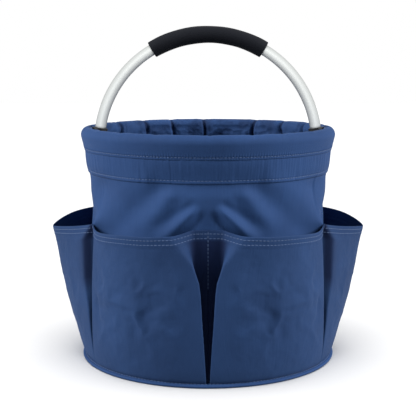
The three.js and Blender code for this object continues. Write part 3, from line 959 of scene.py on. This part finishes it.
def make_binding():
    """The tape folded round the seam that stands out round the base."""
    rows, columns = 26, 720
    top, out = FLANGE_HEIGHT, FLANGE_RADIUS - 0.2
    section = [
        (133.6, top + 1.6),
        (135.0, top + 0.9),
        (136.8, top + 0.3),
        (out - 0.9, top - 0.2),
        (out, top - 1.2),
        (out, 1.2),
        (out - 1.0, 0.35),
        (134.0, 0.25),
    ]
    _, radius, height = profile_rows(section[::-1], rows)
    cloth = Cloth(polar(all_round(columns), radius, height), closed=True)
    points = cloth.points
    pulls = 0.16 * np.sin(all_round(columns) * 190 + 2.5 * wrinkles(points, 30, seed=21))
    upper = smooth((height - 1.5) / 1.5)
    return cloth.push((pulls + 0.12 * wrinkles(points, 12, seed=22)) * upper)


def make_disc(name, radius, height, replaces, facing_down):
    """A round panel as rings of quads round a middle point; one that faces up lies a little wavy."""
    rings, columns = 40, 180
    across = np.linspace(radius, radius * 0.02, rings)[:, None]
    points = polar(all_round(columns), across, height)
    faces = grid_faces(rings, columns, True)
    hub = [(rings - 1) * columns + c for c in range(columns)]
    middle = rings * columns
    faces += [(c, d, middle) for c, d in zip(hub, hub[1:] + hub[:1])]
    if facing_down:
        faces = [tuple(reversed(face)) for face in faces]
    else:
        rise = 1 + wrinkles(points, 48, seed=33, octaves=3)
        points[..., 2] += 0.35 * rise * smooth((radius - across) / 12)
    points = np.concatenate([points.reshape(-1, 3), points[-1].mean(axis=0, keepdims=True)])
    made = new_object(name, points, faces, DEEP_BLUE, "bag")
    corners = [loop.vertex_index for loop in made.data.loops]
    made.data.uv_layers.new(name="weave").data.foreach_set("uv", (points[corners, :2] * MM).ravel())
    thicken(made, 0.8)
    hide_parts(replaces)


# ---- bail ------------------------------------------------


def round_bar(name, start, end, radii, material, replaces):
    """A round bar along the bail's arc, between two angles; it has one of the radii at each step."""
    sides, steps = 48, len(radii)
    angle = np.linspace(start, end, steps)[:, None]
    turn = all_round(sides)
    out = BAIL_RADIUS + radii[:, None] * np.cos(turn)
    across = radii[:, None] * np.sin(turn)
    points = np.stack([out * np.cos(angle), across, BAIL_CENTRE + out * np.sin(angle)], axis=-1)
    faces = grid_faces(steps, sides, True)
    faces.append(tuple(reversed(range(sides))))
    faces.append(tuple((steps - 1) * sides + k for k in range(sides)))
    made = new_object(name, points.reshape(-1, 3), faces, material, "bail")
    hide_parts(replaces)
    return made


def make_bail_tube():
    """The bail's tube; the middle of its slanted end is a little above the CAD's lowest point."""
    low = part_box("bail_tube")[0].z / MM
    start = math.asin((low + 0.9 - BAIL_CENTRE) / BAIL_RADIUS)
    radii = np.full(160, TUBE_RADIUS)
    return round_bar(
        "bail_tube_satin", start, math.pi - start, radii, ALUMINIUM, "bail_tube"
    )


def make_half_hoop(name, side):
    """One half of the rim's hoop, a hollow tube: the front half where side is -1, the back where +1."""
    sides, steps, wall = 32, 160, 1.0
    start = HOOP_START / HOOP_RADIUS
    angle = np.linspace(start, math.pi - start, steps)[:, None]
    turn = all_round(sides)
    skins = []
    for radius in (HOOP_TUBE_RADIUS, HOOP_TUBE_RADIUS - wall):
        out = HOOP_RADIUS + radius * np.cos(turn)
        x, y = out * np.cos(angle), side * out * np.sin(angle)
        z = np.broadcast_to(HOOP_HEIGHT + radius * np.sin(turn), x.shape)
        skins.append(np.stack([x, y, z], axis=-1))
    points = np.concatenate([skins[0], skins[1][::-1]])
    faces = grid_faces(2 * steps, sides, True)
    last = (2 * steps - 1) * sides
    for k in range(sides):
        m = (k + 1) % sides
        faces.append((last + k, last + m, m, k))
    if side > 0:
        faces = [tuple(reversed(face)) for face in faces]
    made = new_object(name, points.reshape(-1, 3), faces, MILLED, "bag")
    edge = made.modifiers.new("edge", "EDGE_SPLIT")
    edge.split_angle = math.radians(50)
    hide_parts("hoop_front" if side < 0 else "hoop_back")


def make_grip():
    """The foam grip, with rounded ends and a slightly uneven thickness."""
    edge = 0.9
    t = np.linspace(0, 1, 300)
    from_end = np.minimum(t, 1 - t) * 2 * GRIP_HALF_ANGLE * BAIL_RADIUS
    round_off = edge - np.sqrt(np.maximum(edge**2 - np.maximum(edge - from_end, 0) ** 2, 0))
    worn = 0.12 * np.sin(t * 9 + 1) + 0.08 * np.sin(t * 23)
    radii = GRIP_RADIUS - round_off + worn - 0.1
    start = math.pi / 2 - GRIP_HALF_ANGLE
    made = round_bar("foam_grip_sleeve", start, math.pi - start, radii, FOAM, "foam_grip")


# ---- assembly --------------------------------------------

wall = make_wall()
cloth_object("bucket_wall", wall, BLUE, replaces=["wall_panel_front", "wall_panel_back"])
cuff = make_cuff()
cloth_object("rim_cuff", cuff, BLUE, thickness=0.9, replaces=["cuff_band"])
sleeve, sleeve_length, opening_row = make_sleeve()
sleeve_object = cloth_object(
    "rim_sleeve_gathered",
    sleeve,
    BLUE,
    thickness=0.8,
    replaces=["rim_sleeve"],
)
cut_hinge_openings(sleeve_object, sleeve, opening_row)
binding = make_binding()
cloth_object("base_binding_tape", binding, BLUE, thickness=0.5, replaces=["base_binding"])
make_disc("base_underside", BASE_RADIUS + 0.6, 0.9, "base_panel", facing_down=True)
make_disc(
    "bucket_floor", BASE_RADIUS - 3.6, FLOOR_TOP - 0.4, "floor_lining", facing_down=False
)

pockets = {}
for name, middle, left, right, style in [
    ("pocket_front_left", -30, CLOSED_PLEAT, OPEN_PLEAT, FRONT_POCKET),
    ("pocket_front_right", 30, OPEN_PLEAT, CLOSED_PLEAT, FRONT_POCKET),
    ("pocket_side_right", 90, SIDE_FRONT_PLEAT, SIDE_BACK_PLEAT, SIDE_POCKET),
    ("pocket_back_right", 150, CLOSED_PLEAT, OPEN_PLEAT, FRONT_POCKET),
    ("pocket_back_left", 210, OPEN_PLEAT, CLOSED_PLEAT, FRONT_POCKET),
    ("pocket_side_left", 270, SIDE_BACK_PLEAT, SIDE_FRONT_PLEAT, SIDE_POCKET),
]:
    pockets[name] = make_pocket(middle, left, right, style)
    cloth_object(name + "_cloth", pockets[name], SHADED_POCKET_BLUE, thickness=0.9, replaces=[name])

rim_lines = [
    across_line(sleeve, SLEEVE_STITCHES / sleeve_length, count=1500),
    across_line(cuff, CUFF_STITCHES / (CUFF_HEAD - CUFF_BOTTOM), count=1200),
    across_line(
        wall, (INNER_STITCHES - WALL_FOOT) / (WALL_HEAD - WALL_FOOT), count=1200, inside=True
    ),
]
stitch_lines("rim_stitches", rim_lines + opening_stitches(sleeve, opening_row))
hem_lines = []
for pocket in pockets.values():
    for below in HEM_STITCHES:
        hem_lines.append(across_line(pocket, 1 - below / POCKET_HEIGHT, 0.004, 0.996, 900))
stitch_lines("pocket_hem_stitches", hem_lines)
# Stitches go up the left-hand edge of each pocket, which at an open seam is hidden in the pleat lower
# down, and up the inside of the wall behind each seam.
seam_lines = []
for name, pocket in pockets.items():
    start = OPEN_SEAM_START if name in ("pocket_front_right", "pocket_back_left") else 0.02
    seam_lines.append(up_line(pocket, 0.0, start, 0.99))
seam_lines += [up_line(wall, seam / 360, 0.02, 0.68, inside=True) for seam in SEAMS]
stitch_lines("pocket_seam_stitches", seam_lines)
stitch_lines("base_stitches", [across_line(binding, 0.74, count=1500)])

bail_tube = make_bail_tube()
make_grip()
make_half_hoop("hoop_front_tube", -1)
make_half_hoop("hoop_back_tube", 1)

finishes = {"base_board": NYLON}
for side in ("left", "right"):
    finishes["hinge_bracket_" + side] = NYLON
    finishes["bail_knuckle_" + side] = NYLON
    finishes["hinge_pin_" + side] = STEEL
for name, material in finishes.items():
    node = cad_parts[name]
    node.data.materials.clear()
    node.data.materials.append(material)
    if name != "base_board":
        edge = node.modifiers.new("edge", "BEVEL")
        edge.width = 0.25 * MM
        edge.segments = 2
        edge.limit_method = "ANGLE"
        edge.angle_limit = math.radians(40)

# ---- studio ----------------------------------------------


def make_floor():
    mesh = bpy.data.meshes.new("studio_floor")
    reach = 6.0
    corners = [(-reach, -reach, 0), (reach, -reach, 0), (reach, reach, 0), (-reach, reach, 0)]
    mesh.from_pydata(corners, [], [(0, 1, 2, 3)])
    made = bpy.data.objects.new("studio_floor", mesh)
    bpy.context.scene.collection.objects.link(made)
    n = Nodes("studio_white")
    shade = n.mix(n.noise(n.place(), 3.0), (0.9, 0.9, 0.9), (0.93, 0.93, 0.93))
    made.data.materials.append(n.set(Base_Color=shade, Roughness=0.9))
    made.visible_diffuse = False
    return made


def make_sun(name, azimuth, elevation, strength, softness, lit):
    """A soft light from far away, with angles in degrees, which lights only the objects in lit."""
    data = bpy.data.lights.new(name, "SUN")
    data.energy = strength
    data.angle = math.radians(softness)
    made = bpy.data.objects.new(name, data)
    a, e = math.radians(azimuth), math.radians(elevation)
    towards = Vector((math.sin(a) * math.cos(e), -math.cos(a) * math.cos(e), math.sin(e)))
    made.rotation_euler = towards.to_track_quat("Z", "Y").to_euler()
    bpy.context.scene.collection.objects.link(made)
    receivers = bpy.data.collections.new(name + "_lights")
    for each in lit:
        receivers.objects.link(each)
    made.light_linking.receiver_collection = receivers


def make_world():
    """An even pale studio: white where the camera sees it, and dimmer as a light."""
    world = bpy.data.worlds.new("studio")
    world.use_nodes = True
    tree = world.node_tree
    background = tree.nodes["Background"]
    background.inputs[0].default_value = (1, 1, 1, 1)
    seen = tree.nodes.new("ShaderNodeLightPath").outputs["Is Camera Ray"]
    strength = tree.nodes.new("ShaderNodeMapRange")
    strength.inputs["To Min"].default_value = 0.34
    strength.inputs["To Max"].default_value = 1.0
    tree.links.new(seen, strength.inputs["Value"])
    tree.links.new(strength.outputs[0], background.inputs[1])
    bpy.context.scene.world = world


CAMERA_AWAY = 1.1105  # in metres
CAMERA_HEIGHT = 0.3268  # in metres
CAMERA_DIP = 8.474  # in degrees below level
CAMERA_LENS = 87.7


def make_camera():
    data = bpy.data.cameras.new("camera")
    data.sensor_width = 36
    data.lens = CAMERA_LENS
    data.clip_end = 50
    made = bpy.data.objects.new("camera", data)
    made.location = (0, -CAMERA_AWAY, CAMERA_HEIGHT)
    made.rotation_euler = (math.radians(90 - CAMERA_DIP), 0, 0)
    bpy.context.scene.collection.objects.link(made)
    bpy.context.scene.camera = made


floor = make_floor()
meshes = [each for each in bpy.data.objects if each.type == "MESH"]
caddy = [each for each in meshes if each not in (floor, bail_tube)]
make_sun("sun_left", azimuth=-76, elevation=28, strength=4.0, softness=34, lit=caddy)
make_sun("sun_right", azimuth=76, elevation=28, strength=4.0, softness=34, lit=caddy)
make_sun("sun_on_bail", azimuth=0, elevation=25, strength=2.3, softness=50, lit=[bail_tube])
make_sun("sun_over_floor", azimuth=0, elevation=80, strength=3.1, softness=60, lit=[floor])
make_world()
make_camera()
bpy.context.scene.view_settings.view_transform = "Standard"
